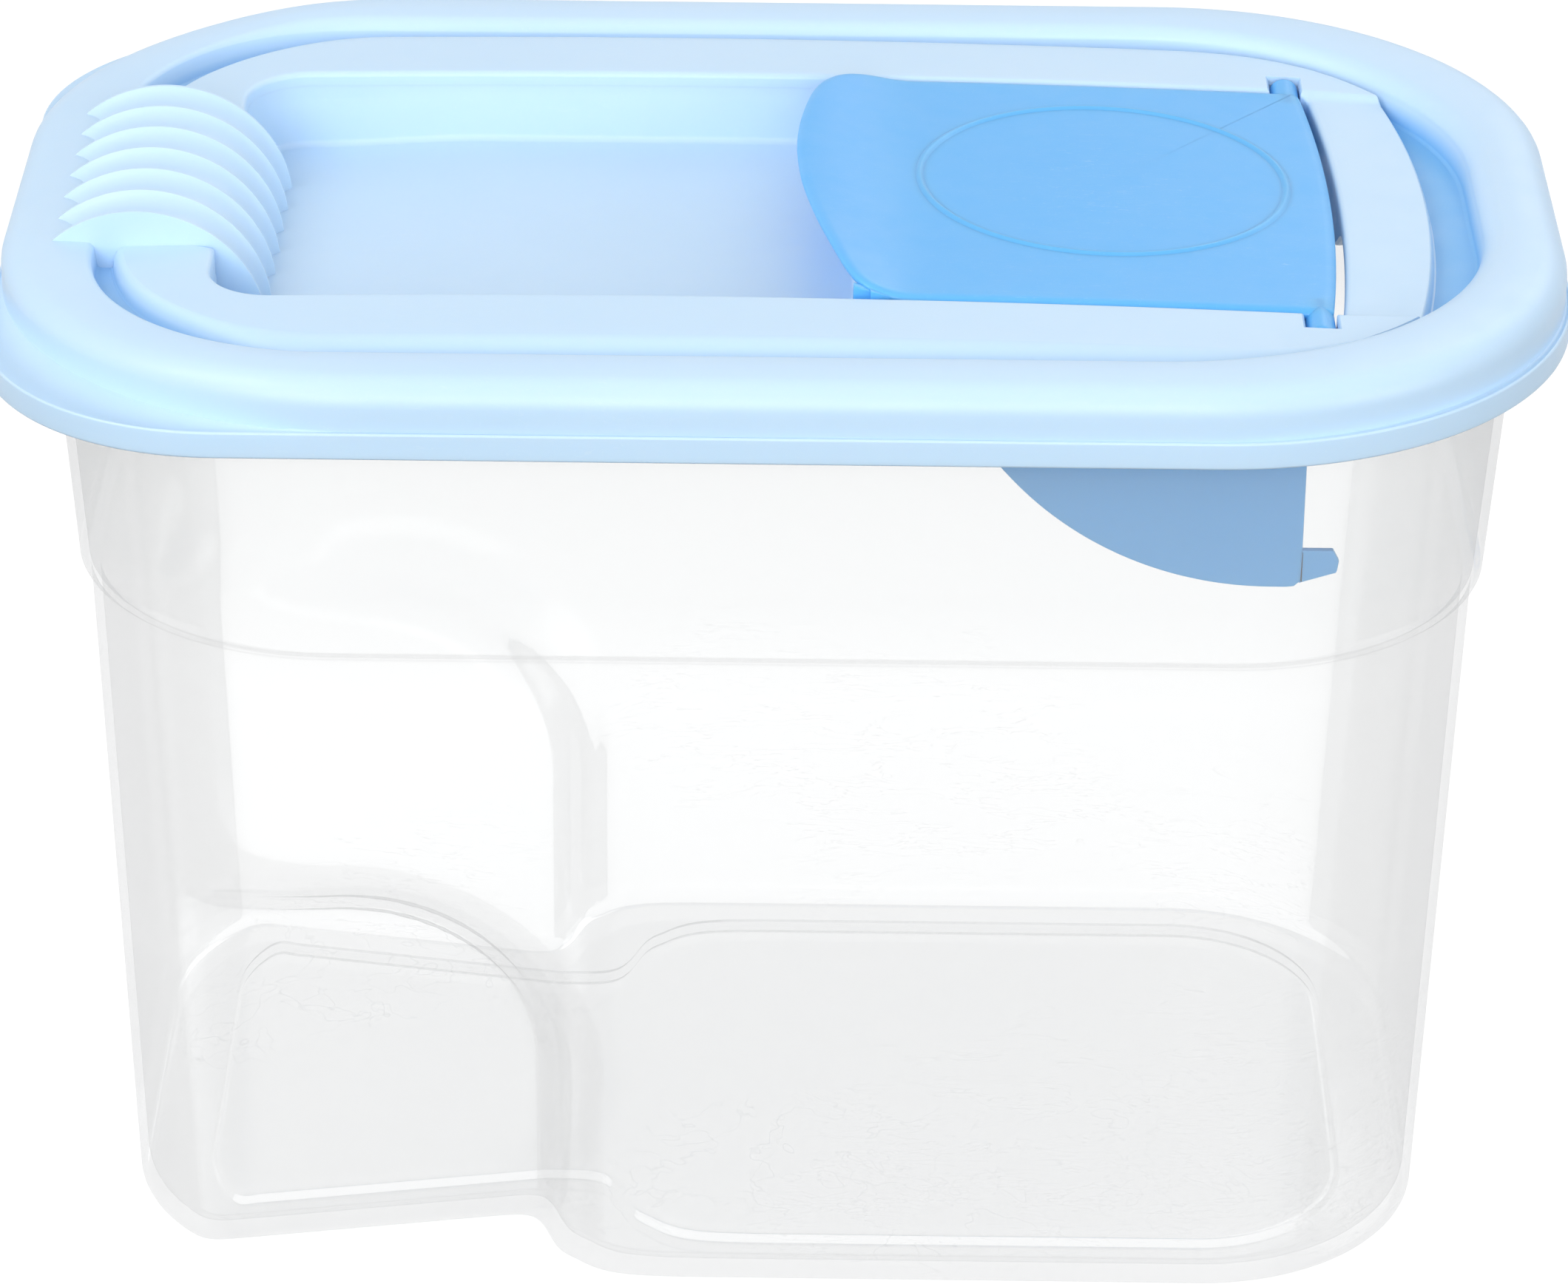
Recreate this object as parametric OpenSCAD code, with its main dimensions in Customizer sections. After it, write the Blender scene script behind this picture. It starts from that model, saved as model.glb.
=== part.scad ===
// Rice bin with a clear tub, a lid with a scoop pan and a flap on two pins.
// X runs along the length, Y across, Z up. The origin is the middle of the foot.

/* [Container] */
// Length of the foot
foot_l = 293; // [240:1:360]
// Width of the foot
foot_w = 172; // [150:1:240]
// Corner radius of the foot
foot_r = 51; // [40:1:60]
// Height of the shoulder line above the foot
shoulder_z = 161; // [140:1:200]
// Height of the underside of the lid's skirt
skirt_z = 215; // [205:1:280]
// How far each wall leans out from the foot to the shoulder
body_lean = 5.3; // [2:0.1:8]
// How far the collar stands out from the wall below it
shoulder_step = 2.2; // [1:0.1:4]
// How far each wall leans out from the shoulder to the rim
collar_lean = 4; // [2:0.1:6]
// Thickness of the tub's walls
tub_wall = 2; // [1.5:0.1:3]
// Thickness of the tub's base
base_t = 3; // [2:0.1:5]
// Depth of the panel raised under the base
panel_rise = 1.5; // [0.5:0.1:2.5]
// Width of the foot that the tub stands on
foot_rim = 11; // [6:0.5:20]
// Thickness of the flange around the rim
flange_t = 2.5; // [1.5:0.1:3.5]

/* [Grip recesses] */
// Radius of the arch over each grip recess
arch_r = 48; // [35:0.5:50]
// Distance of the arch's middle from the middle of the tub
arch_x = 97; // [85:0.5:100]
// Height of the arch's middle
arch_z = 44; // [35:0.5:60]
// Depth of the recess at its deep end
grip_depth = 26; // [15:0.5:30]
// Angle of the recess wall to the length of the tub
grip_angle = 10; // [6:0.5:14]
// Radius of the recess at its deep end
grip_end_r = 12; // [8:0.5:16]
// How far the arch reaches past the recess's round end
arch_overlap = 1.2; // [0.8:0.1:3]

/* [Lid] */
// Length over the skirt
lid_l = 340; // [320:1:400]
// Width over the skirt
lid_w = 219; // [205:1:280]
// Corner radius of the skirt at the grip end
skirt_left_r = 53; // [45:1:70]
// Corner radius of the skirt at the hinge end
skirt_right_r = 80; // [70:1:90]
// Height of the skirt
skirt_h = 6; // [4:0.5:10]
// Height of the lid's ring above its skirt
ring_h = 11; // [10:0.5:16]
// How far the ring's foot is set in from the skirt
ring_inset = 1; // [0.5:0.1:3]
// Corner radius of the ring
ring_r = 82; // [70:1:90]
// Radius of the roll along the ring's outer edge
ring_roll = 6; // [4:0.5:9.5]
// Length of the moat's outer edge
moat_l = 306; // [300:1:380]
// Width of the moat's outer edge
moat_w = 186; // [185:1:250]
// Corner radius of the moat's outer edge at the grip end
moat_left_r = 54; // [45:1:70]
// Corner radius of the moat's outer edge at the hinge end
moat_right_r = 75; // [60:1:85]
// Depth of the moat below the ring
moat_depth = 8; // [5:0.5:9]
// Length of the raised middle
deck_l = 290; // [280:1:320]
// Width of the raised middle
deck_w = 181; // [170:1:190]
// Corner radius of the raised middle
deck_r = 70; // [60:1:80]
// Radius of the roll along the raised middle's edge
deck_roll = 7; // [3:0.5:8]
// How far the middle's crown lies below the ring
deck_drop = 0.5; // [0.5:0.1:3]
// Radius of the crown along the length
crown_r = 3800; // [3000:100:8000]
// Distance of the crown's highest line from the middle, towards the grip
crown_x = 25; // [0:1:60]
// Thickness of the lid's walls
lid_wall = 2.2; // [1.5:0.1:3]

/* [Pan] */
// Distance of the pan's wall at the grip end from the middle
pan_x = 118; // [105:1:120]
// Distance of the pan's wall under the flap from the middle
pan_end_x = 18; // [12:0.5:22]
// Half width of the pan
pan_half_w = 61; // [50:0.5:64]
// Corner radius of the pan
pan_r = 14; // [8:0.5:20]
// Depth of the pan below the ring
pan_depth = 17; // [14:0.5:18]
// How far the strip behind the flap is set down
strip_drop = 1.5; // [0.5:0.1:3]

/* [Grip] */
// Distance of the grip's middle from the middle of the lid
grip_x = 139; // [132:0.5:142]
// Radius over the grip's fins
grip_r = 27.5; // [24:0.5:28]
// Height of the grip above the ring
grip_rise = 5.8; // [4:0.1:10]
// Number of fins
fin_count = 7; // [4:1:9]
// Distance from fin to fin
fin_pitch = 11.7; // [8:0.1:12]
// Depth of the grooves between the fins
groove_depth = 2.6; // [1:0.1:4]
// Width of a fin's crest
fin_w = 0.9; // [0.6:0.1:2]

/* [Flap] */
// Distance of the hinge line from the middle of the lid
hinge_x = 113.7; // [108:0.1:116]
// Radius of the hinge pins
pin_r = 3.25; // [2.5:0.05:3.5]
// Length of each hinge pin beyond the flap
pin_l = 8; // [5:0.1:10]
// Distance of the flap's free edge from the middle of the lid
flap_left_x = 2.5; // [1:0.1:5]
// Distance of the flap's hinge edge from the middle of the lid
flap_right_x = 121; // [119:0.1:123]
// Radius of the flap's free edge in plan
flap_left_r = 190; // [140:1:250]
// Radius of the flap's hinge edge in plan
flap_right_r = 545; // [300:5:800]
// Thickness of the flap
flap_t = 2.2; // [1.5:0.1:3]
// Radius of the round bead on the flap
bead_r = 40.5; // [20:0.5:45]
// Width of the round bead
bead_w = 1.4; // [1:0.1:3]
// Height of the round bead
bead_h = 0.9; // [0.4:0.1:1.2]
// Distance of the round bead's middle from the middle of the lid
bead_x = 70; // [60:0.5:72]

/* [Cheeks] */
// Depth of the cheeks below the flap at the hinge
cheek_depth = 66.5; // [50:0.5:70]
// Radius of the cheeks' lower edge
cheek_r = 75.5; // [70:0.5:80]
// Distance from the hinge line to the lowest point of the cheeks
cheek_low_x = 8; // [6:0.5:14]
// Thickness of the cheeks
cheek_t = 2; // [1.5:0.1:3]
// Distance of the cheeks' back edge from the hinge line
cheek_back = 1; // [0.5:0.1:3]
// How far the cheeks are set in from the flap's sides
cheek_inset = 1.5; // [0.5:0.1:4]
// Angle of the cheeks' front edge to the flap
cheek_angle = 49; // [47:0.5:52]
// Height of the nub at the cheeks' back corner
nub_h = 8; // [4:0.5:12]
// Length of the nub beyond the cheek
nub_l = 8; // [4:0.5:10]
// Height of the nub above the cheeks' lowest point
nub_lift = 1; // [0:0.5:3]

/* [Clearances] */
// Gap between the lid and the tub's rim
rim_gap = 0.3; // [0.2:0.05:0.8]
// Gap between the rim's flange and the inside of the skirt
flange_gap = 0.5; // [0.3:0.05:1]
// Gap between the flap and the walls beside it
flap_gap = 0.7; // [0.5:0.05:1.2]
// Gap between the flap's hinge edge and the strip behind it
strip_gap = 2; // [1:0.1:3]
// Gap between the flap and the wall that it rests on
rest_gap = 0.3; // [0.2:0.05:0.5]
// Gap around the hinge pins
pin_gap = 0.08; // [0.02:0.01:0.1]
// Gap between the cheeks and the wall under the flap
cheek_gap = 3; // [1:0.1:6]

/* [Hidden] */
$fn = 96;
over = 1;
// Corner centres shared by every level of the tub
tub_cx = foot_l / 2 - foot_r;
tub_cy = foot_w / 2 - foot_r;
lower_step_h = 2.5;
shoulder_lean = body_lean + shoulder_step;
rim_lean = shoulder_lean + collar_lean;
rim_z = skirt_z + skirt_h - lid_wall - rim_gap;
flange_z = rim_z - flange_t;
// Depth from the tub's middle line to the grip's rounded end
grip_wall_y = foot_w / 2 - grip_depth;
grip_end_x = arch_x - arch_r + grip_end_r + arch_overlap;
// Levels of the lid
step_z = skirt_z + skirt_h;
ring_z = step_z + ring_h;
moat_z = ring_z - moat_depth;
deck_z = ring_z - deck_drop;
pan_z = ring_z - pan_depth;
tub_floor_z = pan_z - lid_wall;
ring_l = lid_l - 2 * ring_inset;
ring_w = lid_w - 2 * ring_inset;
ring_cx = ring_l / 2 - ring_r;
ring_cy = ring_w / 2 - ring_r;
deck_cx = deck_l / 2 - deck_r;
deck_cy = deck_w / 2 - deck_r;
grip_z = ring_z + grip_rise - grip_r;
grip_half = (fin_count - 1) * fin_pitch / 2 + fin_w / 2;
groove_w = fin_pitch - fin_w;
groove_r = (pow(groove_w / 2, 2) + pow(groove_depth, 2)) / (2 * groove_depth);
// Top of the crown at the hinge line
hinge_deck_z = deck_z - pow(hinge_x + crown_x, 2) / (2 * crown_r);
hinge_z = hinge_deck_z - pin_r;
flap_half_w = pan_half_w - flap_gap;
cheek_y = flap_half_w - cheek_t - cheek_inset;
seat_wall = 4;
block_half = pin_r + seat_wall;
slot_r = pin_r + pin_gap;
slot_end = flap_half_w + pin_l + pin_gap;
cheek_low_z = hinge_deck_z - cheek_depth;
cheek_back_x = hinge_x - cheek_back;
cheek_front_x = pan_end_x + lid_wall + cheek_gap;
// Point where the cheek's straight front edge meets its round lower edge
cheek_mid_x = hinge_x - cheek_low_x;
cheek_mid_z = cheek_low_z + cheek_r;
tangent_x = cheek_mid_x - cheek_r * sin(cheek_angle);
tangent_z = cheek_mid_z - cheek_r * cos(cheek_angle);

// Flat outline of a rounded rectangle with its own corner radius at each end
module outline(l, w, left_r, right_r, grow = 0) {
  x = l / 2 + grow;
  y = w / 2 + grow;
  rl = left_r + grow;
  rr = right_r + grow;
  translate([rl - x, -y])
    square([2 * x - rl - rr, 2 * y]);
  translate([-x, rl - y])
    square([rl, 2 * (y - rl)]);
  translate([x - rr, rr - y])
    square([rr, 2 * (y - rr)]);
  for (s = [-1, 1]) {
    translate([rl - x, s * (y - rl)])
      circle(rl);
    translate([x - rr, s * (y - rr)])
      circle(rr);
  }
}

// Profile swept around four corners, drawn as distance from the corner centre and height
module sweep(cx, cy, low, high) {
  for (turn = [0, 180])
    rotate(turn) {
      translate([cx, cy, 0])
        rotate_extrude(angle = 90)
          children();
      translate([-cx, cy, 0])
        rotate(90)
          rotate_extrude(angle = 90)
            children();
      translate([-cx, cy, 0])
        rotate([90, 0, 90])
          linear_extrude(2 * cx)
            children();
      translate([cx, cy, 0])
        rotate([90, 0, 0])
          linear_extrude(2 * cy)
            children();
    }
  translate([-cx, -cy, low])
    cube([2 * cx, 2 * cy, high - low]);
}

// Half profile of a slab whose upper edge is rolled over
module rolled(r, low, high, roll) {
  translate([0, low])
    square([r, high - low - roll]);
  translate([0, low])
    square([r - roll, high - low]);
  intersection() {
    translate([r - roll, high - roll])
      circle(roll);
    translate([r - roll, high - roll])
      square(roll);
  }
}

// Everything below the lid's long crown, lowered by drop
module under_crown(drop) {
  translate([-crown_x, 0, deck_z - crown_r - drop])
    rotate([90, 0, 0])
      cylinder(r = crown_r, h = lid_w, center = true, $fn = 1800);
}

// Arch of a grip recess, seen from the side
module arch(grow) {
  translate([-arch_x, arch_z])
    circle(arch_r + grow);
  translate([-arch_x - arch_r - grow, -over])
    square([2 * (arch_r + grow), arch_z + over]);
}

// Plan of a grip recess on the side of negative Y, from its slanted wall to its round end
module grip_plan(grow) {
  r = grip_end_r + grow;
  translate([-grip_end_x, -grip_wall_y - grip_end_r])
    rotate(grip_angle) {
      circle(r);
      translate([-foot_l, -foot_w])
        square([foot_l, foot_w + r]);
      translate([-foot_l, -foot_w])
        square([foot_l + r, foot_w]);
    }
}

// The two grip recesses as solids, each grown by the given thickness
module grips(grow) {
  for (side = [0, 1])
    mirror([0, side, 0])
      intersection() {
        rotate([90, 0, 0])
          linear_extrude(foot_w)
            arch(grow);
        translate([0, 0, -over])
          linear_extrude(shoulder_z)
            grip_plan(grow);
      }
}

// Half profile of the tub, drawn in by inset, from a level to the rim
module tub_profile(inset, low, high) {
  lean = body_lean * low / shoulder_z;
  polygon([
    [0, low],
    [foot_r + lean - inset, low],
    [foot_r + body_lean - inset, shoulder_z - lower_step_h],
    [foot_r + shoulder_lean - inset, shoulder_z],
    [foot_r + rim_lean - inset, rim_z],
    [foot_r + rim_lean - inset, high],
    [0, high]
  ]);
}

// Clear tub with its shoulder, collar, rim flange and grip recesses
module container() {
  color("aliceblue", 0.5)
    difference() {
      union() {
        sweep(tub_cx, tub_cy, 0, rim_z)
          tub_profile(0, 0, rim_z);
        translate([0, 0, flange_z])
          linear_extrude(flange_t)
            outline(lid_l, lid_w, skirt_left_r, skirt_right_r, -lid_wall - flange_gap);
      }
      grips(0);
      difference() {
        sweep(tub_cx, tub_cy, base_t + panel_rise, rim_z + over)
          tub_profile(tub_wall, base_t + panel_rise, rim_z + over);
        grips(tub_wall);
      }
      translate([0, 0, -over])
        linear_extrude(panel_rise + over)
          difference() {
            outline(foot_l, foot_w, foot_r, foot_r, -foot_rim);
            for (side = [0, 1])
              mirror([0, side])
                grip_plan(foot_rim);
          }
    }
}

// Outline of the pan and the opening under the flap together
module pan_outline(grow) {
  right = flap_right_x + strip_gap;
  intersection() {
    translate([(right - pan_x) / 2, 0])
      outline(right + pan_x, 2 * pan_half_w, pan_r, 1, grow);
    translate([right - flap_right_r, 0])
      circle(flap_right_r + grow, $fn = 360);
  }
}

// Fins of the grip as a round bar along Y
module grip_bar(r, half, groove) {
  translate([-grip_x, 0, grip_z])
    rotate([90, 0, 0])
      rotate_extrude()
        difference() {
          translate([0, -half])
            square([r, 2 * half]);
          if (groove > 0)
            for (i = [0 : fin_count - 2])
              translate([r - groove + groove_r, (i + 1 - fin_count / 2) * fin_pitch])
                circle(groove_r);
        }
}

// Seats for the hinge pins, in blocks under the raised middle
module blocks() {
  for (s = [-1, 1])
    translate([hinge_x, s * (pan_half_w + slot_end) / 2, hinge_z])
      cube([2 * block_half, slot_end - pan_half_w + 2 * seat_wall, 2 * block_half], center = true);
}

// Open slots that the hinge pins press into
module slots() {
  translate([hinge_x, 0, hinge_z]) {
    rotate([90, 0, 0])
      cylinder(r = slot_r, h = 2 * slot_end, center = true);
    translate([-slot_r, -slot_end, 0])
      cube([2 * slot_r, 2 * slot_end, block_half]);
  }
}

// Space over the strip behind the flap, lowered by the given thickness
module over_strip(thickness) {
  difference() {
    translate([hinge_x + block_half - thickness, -pan_half_w - thickness, moat_z - thickness])
      cube([deck_l / 2 + over - hinge_x - block_half, 2 * (pan_half_w + thickness), lid_w]);
    under_crown(strip_drop + thickness);
  }
}

// Outer shape of the lid before it is hollowed
module lid_outside() {
  difference() {
    sweep(ring_cx, ring_cy, step_z - lid_wall, ring_z)
      rolled(ring_r, step_z - lid_wall, ring_z, ring_roll);
    translate([0, 0, moat_z])
      linear_extrude(moat_depth + over)
        outline(moat_l, moat_w, moat_left_r, moat_right_r);
  }
  intersection() {
    sweep(deck_cx, deck_cy, step_z, ring_z)
      rolled(deck_r, step_z, ring_z, deck_roll);
    under_crown(0);
  }
  translate([0, 0, skirt_z])
    linear_extrude(skirt_h)
      outline(lid_l, lid_w, skirt_left_r, skirt_right_r);
  intersection() {
    grip_bar(grip_r, grip_half, groove_depth);
    translate([-lid_l, -lid_w, skirt_z + lid_wall])
      cube([2 * lid_l, 2 * lid_w, lid_w]);
  }
  translate([0, 0, tub_floor_z])
    linear_extrude(moat_z - tub_floor_z)
      pan_outline(lid_wall);
}

// Space under the lid's skin
module lid_inside() {
  difference() {
    union() {
      difference() {
        sweep(ring_cx, ring_cy, skirt_z - over, ring_z - lid_wall)
          rolled(ring_r - lid_wall, skirt_z - over, ring_z - lid_wall, ring_roll - lid_wall);
        translate([0, 0, moat_z - lid_wall])
          linear_extrude(ring_z)
            outline(moat_l, moat_w, moat_left_r, moat_right_r, lid_wall);
      }
      intersection() {
        sweep(deck_cx, deck_cy, step_z - lid_wall, ring_z - lid_wall)
          rolled(deck_r - lid_wall, step_z - lid_wall, ring_z - lid_wall, deck_roll - lid_wall);
        difference() {
          under_crown(lid_wall);
          over_strip(lid_wall);
        }
      }
      grip_bar(grip_r - groove_depth - lid_wall, grip_half - lid_wall, 0);
      translate([0, 0, skirt_z - over])
        linear_extrude(skirt_h - lid_wall + over)
          outline(lid_l, lid_w, skirt_left_r, skirt_right_r, -lid_wall);
    }
    translate([0, 0, tub_floor_z])
      linear_extrude(ring_z)
        pan_outline(lid_wall);
    blocks();
  }
}

// Lid with its ring, moat, raised middle, pan, grip and skirt
module lid() {
  color("lightblue")
    difference() {
      lid_outside();
      lid_inside();
      difference() {
        translate([0, 0, pan_z])
          linear_extrude(ring_z)
            pan_outline(0);
        grip_bar(grip_r, grip_half, groove_depth);
        intersection() {
          translate([pan_end_x, -lid_w / 2, 0])
            cube([lid_wall, lid_w, ring_z]);
          under_crown(flap_t + rest_gap);
        }
      }
      intersection() {
        translate([0, 0, skirt_z - lid_w])
          linear_extrude(2 * lid_w)
            pan_outline(0);
        translate([pan_end_x + lid_wall, -lid_w / 2, 0])
          cube([lid_l, lid_w, 2 * ring_z]);
      }
      slots();
      over_strip(0);
    }
}

// Outline of the flap with its two curved ends
module flap_outline() {
  intersection() {
    translate([0, -flap_half_w])
      square([foot_l, 2 * flap_half_w]);
    translate([flap_left_x + flap_left_r, 0])
      circle(flap_left_r, $fn = 360);
    translate([flap_right_x - flap_right_r, 0])
      circle(flap_right_r, $fn = 360);
  }
}

// Layer of the flap between two depths below the crown
module flap_layer(top, bottom) {
  difference() {
    intersection() {
      translate([0, 0, pan_z])
        linear_extrude(2 * pan_depth)
          children();
      under_crown(top);
    }
    under_crown(bottom);
  }
}

// Cheek of the flap, seen from the side, with its round lower edge and back corner nub
module cheek_shape() {
  polygon([
    [cheek_front_x, ring_z],
    [cheek_front_x, tangent_z + (tangent_x - cheek_front_x) * tan(cheek_angle)],
    [tangent_x, tangent_z],
    [cheek_back_x, tangent_z],
    [cheek_back_x, ring_z]
  ]);
  intersection() {
    translate([cheek_mid_x, cheek_mid_z])
      circle(cheek_r, $fn = 240);
    translate([tangent_x, cheek_low_z - over])
      square([cheek_back_x - tangent_x, tangent_z - cheek_low_z + over]);
  }
  translate([hinge_x, hinge_z])
    circle(pin_r);
  translate([cheek_back_x - nub_h, cheek_low_z + nub_lift])
    square([nub_h + nub_l, nub_h]);
}

// Flap with its round bead, cheeks, nubs and hinge pins
module flap() {
  color("cornflowerblue") {
    flap_layer(0, flap_t)
      flap_outline();
    flap_layer(-bead_h, flap_t / 2)
      translate([bead_x, 0])
        difference() {
          circle(bead_r + bead_w / 2);
          circle(bead_r - bead_w / 2);
        }
    for (s = [-1, 1]) {
      intersection() {
        translate([0, s * (cheek_y + cheek_t / 2) + cheek_t / 2, 0])
          rotate([90, 0, 0])
            linear_extrude(cheek_t)
              cheek_shape();
        under_crown(flap_t / 2);
      }
      translate([hinge_x, s * cheek_y, hinge_z])
        rotate([-90 * s, 0, 0])
          cylinder(r = pin_r, h = flap_half_w + pin_l - cheek_y);
    }
  }
}

container();
lid();
flap();
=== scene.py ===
import math

import bmesh
import bpy
import numpy as np
from mathutils import Matrix, Vector


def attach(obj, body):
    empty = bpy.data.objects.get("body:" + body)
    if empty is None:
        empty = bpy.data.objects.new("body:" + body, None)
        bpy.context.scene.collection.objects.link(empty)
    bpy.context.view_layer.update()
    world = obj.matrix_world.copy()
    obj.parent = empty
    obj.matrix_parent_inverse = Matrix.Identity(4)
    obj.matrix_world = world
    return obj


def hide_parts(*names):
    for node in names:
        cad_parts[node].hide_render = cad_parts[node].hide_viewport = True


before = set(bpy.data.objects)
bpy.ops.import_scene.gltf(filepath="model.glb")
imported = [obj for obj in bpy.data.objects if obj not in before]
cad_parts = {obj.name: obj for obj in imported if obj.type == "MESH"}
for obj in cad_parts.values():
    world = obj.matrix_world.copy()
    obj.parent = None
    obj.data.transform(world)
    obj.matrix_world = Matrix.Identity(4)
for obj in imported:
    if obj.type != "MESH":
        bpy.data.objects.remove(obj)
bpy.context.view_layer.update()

# Lengths are in millimetres and are turned to metres when a mesh is made
MM = 0.001

# Levels of the lid, and the crown of its raised middle
SKIRT_Z = 215.0
STEP_Z = 221.0
RING_Z = 232.0
DECK_Z = 231.5
PAN_Z = 215.0
MOAT_SHALLOW = 224.6
MOAT_FALL = 2.2
OPEN_FOOT = 212.6
OPEN_FOOT_RISE = 11.4
CROWN_R = 3800.0
CROWN_X = 25.0
LID_WALL = 2.2

# Outlines as length, width, left corner radius and right corner radius
SKIRT = (340.0, 219.0, 53.0, 80.0)
BEAD = (338.0, 217.0, 82.0, 82.0)
MOAT = (299.8, 179.8, 52.0, 73.0)
MOAT_SHIFT = 1.6

# Pan and the opening under the flap
OPEN_HALF = 61.0
PAN_LEFT = -122.3
PAN_R = 14.0
PAN_END = 17.0
OPEN_RIGHT = 121.9
OPEN_RIGHT_R = 547.0

# Grip, with the pan's wall drawn back under it
GRIP_X = -139.0
GRIP_R = 27.5
GRIP_Z = RING_Z + 5.8 - GRIP_R
FIN_PITCH = 11.7
FIN_N = 7
GROOVE = 2.6
FIN_REACH = (FIN_N - 1) * FIN_PITCH / 2
GRIP_HALF = FIN_REACH + 0.45
UNDER_GRIP = 4.0
UNDER_HALF = GRIP_HALF - 0.6

# Flap and hinge
HINGE_X = 113.7
HINGE_Z = 225.719
PIN_R = 3.25
FLAP_HALF = 60.3
FLAP_T = 2.2
FLAP_RIGHT = 119.9
FLAP_RIGHT_R = 545.0
CHEEK_OUT = 58.8
CHEEK_IN = 56.8
CHEEK_DROP = 66.5


def crown(x):
    """Height of the lid's raised middle along its length"""
    return DECK_Z - (x + CROWN_X) ** 2 / (2 * CROWN_R)


def moat_z(x):
    """Height of the moat's floor, deepest at the hinge end"""
    return MOAT_SHALLOW - MOAT_FALL * smooth((x + 40) / 150)


def pan_z(x):
    """Height of the pan's floor, which falls a little under the grip"""
    return PAN_Z - 2.0 * smooth((-70 - x) / 40)


def ring_drop(x):
    """How much lower the ring's top lies towards the grip's end"""
    return 1.5 * smooth((-105 - x) / 45)


def smooth(t):
    """Step from 0 to 1 with soft ends"""
    t = np.clip(t, 0.0, 1.0)
    return t * t * (3 - 2 * t)


def end_x(y, half_l, half_w, r):
    """Distance of a rounded rectangle's end from the middle at a given width"""
    over = np.maximum(np.abs(y) - (half_w - r), 0.0)
    return half_l - r + np.sqrt(np.maximum(r * r - over * over, 0.0))


# Points of the lid's loops, at the same widths on every loop's ends and evenly along its sides
END_N = 44
RAIL_N = 150
END_Y = OPEN_HALF * np.sin(np.linspace(-math.pi / 2, math.pi / 2, 2 * END_N + 1))
RAIL_T = np.linspace(0, 1, RAIL_N + 1)[1:-1]


def resample(path, fractions):
    """Points at given fractions of a polyline's length"""
    path = np.asarray(path, float)
    steps = np.hypot(*np.diff(path, axis=0).T)
    along = np.concatenate([[0], np.cumsum(steps)])
    at = fractions * along[-1]
    return np.stack([np.interp(at, along, path[:, k]) for k in (0, 1)], axis=1)


def close_loop(right, rail, left):
    """Whole loop from its right end, its rail at positive Y and its left end"""
    lower = rail[::-1] * [1, -1]
    return np.concatenate([right, rail, left[::-1], lower])


def rounded(length, width, rl, rr, inset=0.0):
    """Rounded rectangle whose points match those of the opening"""
    hl, hw, rl, rr = length / 2 - inset, width / 2 - inset, rl - inset, rr - inset
    y = END_Y
    right = np.stack([end_x(y, hl, hw, rr), y], axis=1)
    left = np.stack([-end_x(y, hl, hw, rl), y], axis=1)
    path = [right[-1]]
    start = math.asin(min(max((OPEN_HALF - hw + rr) / rr, 0.0), 1.0))
    for a in np.linspace(start, math.pi / 2, 40)[1:]:
        path.append((hl - rr + rr * math.cos(a), hw - rr + rr * math.sin(a)))
    stop = math.asin(min(max((OPEN_HALF - hw + rl) / rl, 0.0), 1.0))
    for a in np.linspace(math.pi / 2, stop, 40):
        path.append((rl - hl - rl * math.cos(a), hw - rl + rl * math.sin(a)))
    path.append(left[-1])
    return close_loop(right, resample(path, RAIL_T), left)


def opening(grow=0.0):
    """Edge of the pan and of the opening under the flap"""
    y = END_Y
    corner = 3.0
    over = np.maximum(np.abs(y) - (OPEN_HALF - corner), 0.0)
    right_x = OPEN_RIGHT - OPEN_RIGHT_R + np.sqrt(OPEN_RIGHT_R ** 2 - y * y)
    right_x = right_x - corner + np.sqrt(np.maximum(corner ** 2 - over * over, 0.0))
    over = np.maximum(np.abs(y) - (OPEN_HALF - PAN_R), 0.0)
    left_x = PAN_LEFT + PAN_R - np.sqrt(np.maximum(PAN_R ** 2 - over * over, 0.0))
    left_x = left_x - UNDER_GRIP * (np.abs(y) < UNDER_HALF)
    right = np.stack([right_x, y], axis=1)
    left = np.stack([left_x, y], axis=1)
    rail = resample([right[-1], left[-1]], RAIL_T)
    loop = close_loop(right, rail, left)
    return loop + grow * outward(loop) if grow else loop


def moat(shift=0.0):
    """Inner wall of the ring, moved outwards by one distance or many"""
    base = rounded(*MOAT) + [MOAT_SHIFT, 0]
    return base + outward(base) * np.broadcast_to(shift, len(base))[:, None]


# Flat top of the lid's raised middle, with the strip right of the flap and its rounded corners
DECK_HALF = 81.0
DECK_LEFT = 142.0
DECK_LEFT_R = 50.0
STRIP_X = 140.7
STRIP_R = 300.0
STRIP_DROP = 1.5
EAR = [(124.5, 71.0), (111.5, 77.6), (96.0, 80.5), (80.0, DECK_HALF)]


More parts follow.
